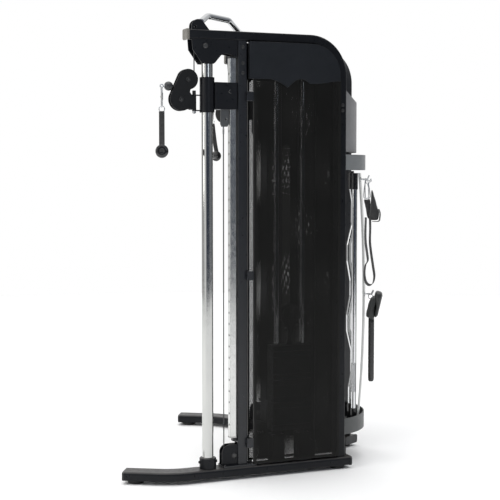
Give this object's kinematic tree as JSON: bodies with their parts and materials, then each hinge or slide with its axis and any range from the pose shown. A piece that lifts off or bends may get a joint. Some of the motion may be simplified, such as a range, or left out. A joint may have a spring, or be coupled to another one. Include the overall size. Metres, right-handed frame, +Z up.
{
  "type": "cable crossover machine",
  "caption": "Free-standing cable crossover machine with a sliding swivel pulley on each tower, shrouded weight stacks, a bent pull-up bar and a rear accessory rack.",
  "frame": {"origin": "on the floor, at the centre of the footprint", "axes": "+Z up, +Y from the user's side to the back, +X across to the right tower"},
  "size_m": [1.4536, 1.128, 2.0932],
  "materials": {
    "black_frame": "satin black powder coat",
    "cover_paint": "satin slate grey",
    "mesh_sheet": "perforated, satin black",
    "grey_paint": "satin grey",
    "silver_sheet": "pale satin",
    "chrome": "polished",
    "steel_plate": "black coated steel",
    "zinc": "zinc plated",
    "wheel_nylon": "black nylon",
    "cable_jacket": "black nylon over steel wire",
    "rubber": "matte",
    "pale_cap": "pale moulded",
    "ball_rubber": "satin",
    "red_knob": "gloss red",
    "webbing": "woven"
  },
  "bodies": {
    "frame": {"base_rails": "black_frame", "frame_tubes": "black_frame", "front_posts": "black_frame", "guide_columns": "chrome", "column_collars": "black_frame", "position_columns": "chrome", "pulley_brackets": "black_frame", "guide_rods": "chrome", "resting_plates": "steel_plate", "stack_risers": "black_frame", "rubber_pads": "rubber", "end_caps": "pale_cap", "frame_bolts": "zinc", "mesh_panels": "mesh_sheet", "upper_covers": "cover_paint", "pull_up_bar": "chrome", "rear_cross_tubes": "grey_paint", "top_panel": "grey_paint", "accessory_trays": "grey_paint", "back_panel": "silver_sheet", "stored_bars": "chrome", "storage_hooks": "chrome", "ankle_strap": "webbing", "padded_strap": "webbing", "right_cable": "cable_jacket", "left_cable": "cable_jacket"},
    "right_carriage": {"right_carriage": "black_frame"},
    "right_lock_pin": {"right_lock_pin": "red_knob"},
    "right_swivel": {"right_swivel_frame": "black_frame"},
    "right_swivel_pulley_upper": {"right_swivel_pulley_upper": "wheel_nylon"},
    "right_swivel_pulley_lower": {"right_swivel_pulley_lower": "wheel_nylon"},
    "right_cable_stop": {"right_cable_stop": "ball_rubber"},
    "right_snap_hook": {"right_snap_hook": "chrome"},
    "right_handle": {"right_handle": "webbing"},
    "right_stack": {"right_lifted_plates": "steel_plate", "right_lift_stem": "zinc"},
    "right_stack_pulley": {"right_stack_pulley": "wheel_nylon"},
    "right_selector_pin": {"right_selector_pin": "red_knob"},
    "right_top_front_pulley": {"right_top_front_pulley": "wheel_nylon"},
    "right_top_mid_pulley": {"right_top_mid_pulley": "wheel_nylon"},
    "right_top_rear_pulley": {"right_top_rear_pulley": "wheel_nylon"},
    "right_bottom_rear_pulley": {"right_bottom_rear_pulley": "wheel_nylon"},
    "right_bottom_front_pulley": {"right_bottom_front_pulley": "wheel_nylon"},
    "left_carriage": {"left_carriage": "black_frame"},
    "left_lock_pin": {"left_lock_pin": "red_knob"},
    "left_swivel": {"left_swivel_frame": "black_frame"},
    "left_swivel_pulley_upper": {"left_swivel_pulley_upper": "wheel_nylon"},
    "left_swivel_pulley_lower": {"left_swivel_pulley_lower": "wheel_nylon"},
    "left_cable_stop": {"left_cable_stop": "ball_rubber"},
    "left_snap_hook": {"left_snap_hook": "chrome"},
    "left_handle": {"left_handle": "webbing"},
    "left_stack": {"left_lifted_plates": "steel_plate", "left_lift_stem": "zinc"},
    "left_stack_pulley": {"left_stack_pulley": "wheel_nylon"},
    "left_selector_pin": {"left_selector_pin": "red_knob"},
    "left_top_front_pulley": {"left_top_front_pulley": "wheel_nylon"},
    "left_top_mid_pulley": {"left_top_mid_pulley": "wheel_nylon"},
    "left_top_rear_pulley": {"left_top_rear_pulley": "wheel_nylon"},
    "left_bottom_rear_pulley": {"left_bottom_rear_pulley": "wheel_nylon"},
    "left_bottom_front_pulley": {"left_bottom_front_pulley": "wheel_nylon"}
  },
  "joints": [
    {"name": "right_carriage_slide", "type": "slide", "parent": "frame", "child": "right_carriage", "axis": [0, 0, 1], "range_m": [-1.3716, 0], "deforming": ["right_cable"]},
    {"name": "right_lock_pin_push", "type": "slide", "parent": "right_carriage", "child": "right_lock_pin", "axis": [-0.5, 0.866, 0], "range_m": [0, 0.014]},
    {"name": "right_swivel_turn", "type": "hinge", "parent": "right_carriage", "child": "right_swivel", "pos_m": [0.58395, -0.25224, 1.7], "axis": [0, 0, 1], "range_deg": [-90, 90]},
    {"name": "right_swivel_pulley_upper_spin", "type": "hinge", "parent": "right_swivel", "child": "right_swivel_pulley_upper", "pos_m": [0.5997, -0.27952, 1.789], "axis": [0.866, 0.5, 0], "continuous": true},
    {"name": "right_swivel_pulley_lower_spin", "type": "hinge", "parent": "right_swivel", "child": "right_swivel_pulley_lower", "pos_m": [0.6159, -0.30758, 1.7016], "axis": [0.866, 0.5, 0], "continuous": true},
    {"name": "right_handle_pull", "type": "slide", "parent": "right_swivel", "child": "right_cable_stop", "axis": [0.5, -0.866, 0], "range_m": [0, 1.8]},
    {"name": "right_snap_hook_swing", "type": "hinge", "parent": "right_cable_stop", "child": "right_snap_hook", "pos_m": [0.6587, -0.38171, 1.75505], "axis": [0.866, 0.5, 0], "range_deg": [-60, 10]},
    {"name": "right_handle_swing", "type": "hinge", "parent": "right_snap_hook", "child": "right_handle", "pos_m": [0.6587, -0.38171, 1.66525], "axis": [0.866, 0.5, 0], "range_deg": [-60, 40]},
    {"name": "right_stack_lift", "type": "slide", "parent": "frame", "child": "right_stack", "axis": [0, 0, 1], "range_m": [0, 0.9]},
    {"name": "right_stack_pulley_spin", "type": "hinge", "parent": "right_stack", "child": "right_stack_pulley", "pos_m": [0.3537, 0.14656, 0.735], "axis": [0.866, 0.5, 0], "continuous": true},
    {"name": "right_selector_pin_pull", "type": "slide", "parent": "right_stack", "child": "right_selector_pin", "axis": [-0.866, -0.5, 0], "range_m": [0, 0.06]},
    {"name": "right_top_front_pulley_spin", "type": "hinge", "parent": "frame", "child": "right_top_front_pulley", "pos_m": [0.56245, -0.215, 1.936], "axis": [0.866, 0.5, 0], "continuous": true},
    {"name": "right_top_mid_pulley_spin", "type": "hinge", "parent": "frame", "child": "right_top_mid_pulley", "pos_m": [0.3967, 0.07208, 1.936], "axis": [0.866, 0.5, 0], "continuous": true},
    {"name": "right_top_rear_pulley_spin", "type": "hinge", "parent": "frame", "child": "right_top_rear_pulley", "pos_m": [0.3107, 0.22104, 1.936], "axis": [0.866, 0.5, 0], "continuous": true},
    {"name": "right_bottom_rear_pulley_spin", "type": "hinge", "parent": "frame", "child": "right_bottom_rear_pulley", "pos_m": [0.3107, 0.22104, 0.106], "axis": [0.866, 0.5, 0], "continuous": true},
    {"name": "right_bottom_front_pulley_spin", "type": "hinge", "parent": "frame", "child": "right_bottom_front_pulley", "pos_m": [0.4937, -0.09592, 0.106], "axis": [0.866, 0.5, 0], "continuous": true},
    {"name": "left_carriage_slide", "type": "slide", "parent": "frame", "child": "left_carriage", "axis": [0, 0, 1], "range_m": [-1.3716, 0], "deforming": ["left_cable"]},
    {"name": "left_lock_pin_push", "type": "slide", "parent": "left_carriage", "child": "left_lock_pin", "axis": [0.5, 0.866, 0], "range_m": [0, 0.014]},
    {"name": "left_swivel_turn", "type": "hinge", "parent": "left_carriage", "child": "left_swivel", "pos_m": [-0.58395, -0.25224, 1.7], "axis": [0, 0, 1], "range_deg": [-90, 90]},
    {"name": "left_swivel_pulley_upper_spin", "type": "hinge", "parent": "left_swivel", "child": "left_swivel_pulley_upper", "pos_m": [-0.5997, -0.27952, 1.789], "axis": [0.866, -0.5, 0], "continuous": true},
    {"name": "left_swivel_pulley_lower_spin", "type": "hinge", "parent": "left_swivel", "child": "left_swivel_pulley_lower", "pos_m": [-0.6159, -0.30758, 1.7016], "axis": [0.866, -0.5, 0], "continuous": true},
    {"name": "left_handle_pull", "type": "slide", "parent": "left_swivel", "child": "left_cable_stop", "axis": [-0.5, -0.866, 0], "range_m": [0, 1.8]},
    {"name": "left_snap_hook_swing", "type": "hinge", "parent": "left_cable_stop", "child": "left_snap_hook", "pos_m": [-0.6587, -0.38171, 1.75505], "axis": [0.866, -0.5, 0], "range_deg": [-60, 10]},
    {"name": "left_handle_swing", "type": "hinge", "parent": "left_snap_hook", "child": "left_handle", "pos_m": [-0.6587, -0.38171, 1.66525], "axis": [0.866, -0.5, 0], "range_deg": [-60, 40]},
    {"name": "left_stack_lift", "type": "slide", "parent": "frame", "child": "left_stack", "axis": [0, 0, 1], "range_m": [0, 0.9]},
    {"name": "left_stack_pulley_spin", "type": "hinge", "parent": "left_stack", "child": "left_stack_pulley", "pos_m": [-0.3537, 0.14656, 0.735], "axis": [0.866, -0.5, 0], "continuous": true},
    {"name": "left_selector_pin_pull", "type": "slide", "parent": "left_stack", "child": "left_selector_pin", "axis": [0.866, -0.5, 0], "range_m": [0, 0.06]},
    {"name": "left_top_front_pulley_spin", "type": "hinge", "parent": "frame", "child": "left_top_front_pulley", "pos_m": [-0.56245, -0.215, 1.936], "axis": [0.866, -0.5, 0], "continuous": true},
    {"name": "left_top_mid_pulley_spin", "type": "hinge", "parent": "frame", "child": "left_top_mid_pulley", "pos_m": [-0.3967, 0.07208, 1.936], "axis": [0.866, -0.5, 0], "continuous": true},
    {"name": "left_top_rear_pulley_spin", "type": "hinge", "parent": "frame", "child": "left_top_rear_pulley", "pos_m": [-0.3107, 0.22104, 1.936], "axis": [0.866, -0.5, 0], "continuous": true},
    {"name": "left_bottom_rear_pulley_spin", "type": "hinge", "parent": "frame", "child": "left_bottom_rear_pulley", "pos_m": [-0.3107, 0.22104, 0.106], "axis": [0.866, -0.5, 0], "continuous": true},
    {"name": "left_bottom_front_pulley_spin", "type": "hinge", "parent": "frame", "child": "left_bottom_front_pulley", "pos_m": [-0.4937, -0.09592, 0.106], "axis": [0.866, -0.5, 0], "continuous": true}
  ],
  "couplings": [
    {"joint": "right_handle_pull", "follows": "right_stack_lift", "ratio": 2},
    {"joint": "right_swivel_pulley_upper_spin", "follows": "right_stack_lift", "rad_per_m": -63.492},
    {"joint": "right_top_front_pulley_spin", "follows": "right_stack_lift", "rad_per_m": 46.512},
    {"joint": "right_top_mid_pulley_spin", "follows": "right_stack_lift", "rad_per_m": 46.512},
    {"joint": "right_stack_pulley_spin", "follows": "right_stack_lift", "rad_per_m": -23.256},
    {"joint": "right_top_rear_pulley_spin", "follows": "right_carriage_slide", "rad_per_m": -23.256},
    {"joint": "right_bottom_rear_pulley_spin", "follows": "right_carriage_slide", "rad_per_m": -23.256},
    {"joint": "right_bottom_front_pulley_spin", "follows": "right_carriage_slide", "rad_per_m": -23.256},
    {"joint": "left_handle_pull", "follows": "left_stack_lift", "ratio": 2},
    {"joint": "left_swivel_pulley_upper_spin", "follows": "left_stack_lift", "rad_per_m": -63.492},
    {"joint": "left_top_front_pulley_spin", "follows": "left_stack_lift", "rad_per_m": 46.512},
    {"joint": "left_top_mid_pulley_spin", "follows": "left_stack_lift", "rad_per_m": 46.512},
    {"joint": "left_stack_pulley_spin", "follows": "left_stack_lift", "rad_per_m": -23.256},
    {"joint": "left_top_rear_pulley_spin", "follows": "left_carriage_slide", "rad_per_m": -23.256},
    {"joint": "left_bottom_rear_pulley_spin", "follows": "left_carriage_slide", "rad_per_m": -23.256},
    {"joint": "left_bottom_front_pulley_spin", "follows": "left_carriage_slide", "rad_per_m": -23.256}
  ]
}
